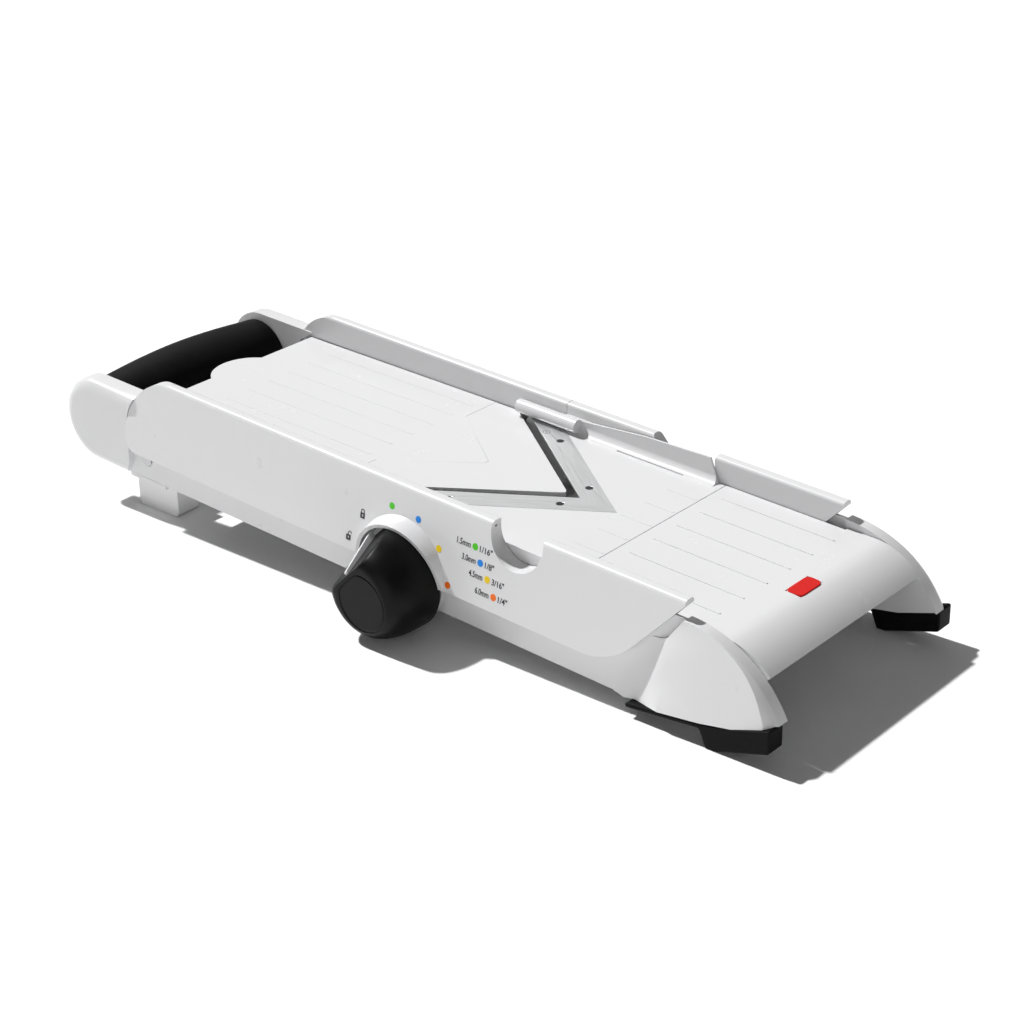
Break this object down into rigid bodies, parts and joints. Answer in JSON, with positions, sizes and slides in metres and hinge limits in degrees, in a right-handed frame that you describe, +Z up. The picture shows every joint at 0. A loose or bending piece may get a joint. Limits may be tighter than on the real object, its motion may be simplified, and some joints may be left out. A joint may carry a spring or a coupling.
{
  "type": "mandoline slicer",
  "caption": "Hand slicer with a runway, a V-shaped blade in a lift-out carrier, a thickness dial, a grip at one end and padded feet at the other",
  "frame": {"origin": "on the table under the middle of the slicer's overall box", "axes": "+X along the slicer from the handle to the feet, +Y across it away from the dial, +Z up from the table"},
  "size_m": [0.4071, 0.1486, 0.0698],
  "materials": {
    "white_plastic": "glossy moulded",
    "deck_plastic": "satin gloss moulded",
    "grip_rubber": "fine matte grain",
    "pad_rubber": "matte",
    "dark_plastic": "satin",
    "dial_plastic": "soft satin",
    "pointer_plastic": "glossy",
    "natural_plastic": "smooth",
    "steel": "plain",
    "blade_steel": "ground and polished",
    "rivet_steel": "dark heads",
    "badge_red": "glossy inlay"
  },
  "bodies": {
    "frame": {"near_frame": "white_plastic", "far_frame": "white_plastic", "dial_side_cover": "white_plastic", "far_side_cover": "white_plastic", "landing_deck": "deck_plastic", "front_crossbar": "white_plastic", "rear_crossbar": "white_plastic", "handle_core": "dark_plastic", "handle_grip": "grip_rubber", "near_foot_pad": "pad_rubber", "far_foot_pad": "pad_rubber", "near_rear_rest": "white_plastic", "far_rear_rest": "white_plastic", "dial_bezel": "white_plastic", "near_shaft_bush": "natural_plastic", "far_shaft_bush": "natural_plastic", "far_hub_cap": "white_plastic", "detent_spring": "steel", "detent_screws": "steel", "pivot_pins": "steel", "cover_screws": "steel", "deck_screws": "steel", "deck_badge": "badge_red"},
    "dial": {"dial_body": "dial_plastic", "dial_face": "dark_plastic", "dial_pointer": "pointer_plastic", "dial_screw": "steel", "cam_shaft": "steel", "near_cam": "natural_plastic", "far_cam": "natural_plastic", "detent_wheel": "natural_plastic", "shaft_clip": "steel"},
    "runway": {"runway_plate": "deck_plastic", "runway_insert": "deck_plastic", "insert_screws": "steel"},
    "carrier": {"blade_carrier": "deck_plastic", "v_blade": "blade_steel", "blade_rivets": "rivet_steel"}
  },
  "joints": [
    {"name": "dial_turn", "type": "hinge", "parent": "frame", "child": "dial", "pos_m": [0.01628, 0.01134, 0.02267], "axis": [0, 1, 0], "range_deg": [-26.6, 124.3]},
    {"name": "runway_tilt", "type": "hinge", "parent": "frame", "child": "runway", "pos_m": [-0.14981, 0.01134, 0.02916], "axis": [0, 1, 0], "range_deg": [-0.41, 1.78]},
    {"name": "carrier_lift", "type": "slide", "parent": "frame", "child": "carrier", "axis": [0.0529, 0, 0.9986], "range_m": [0, 0.06]}
  ],
  "couplings": [
    {"joint": "runway_tilt", "follows": "dial_turn", "ratio": 0.01412}
  ]
}
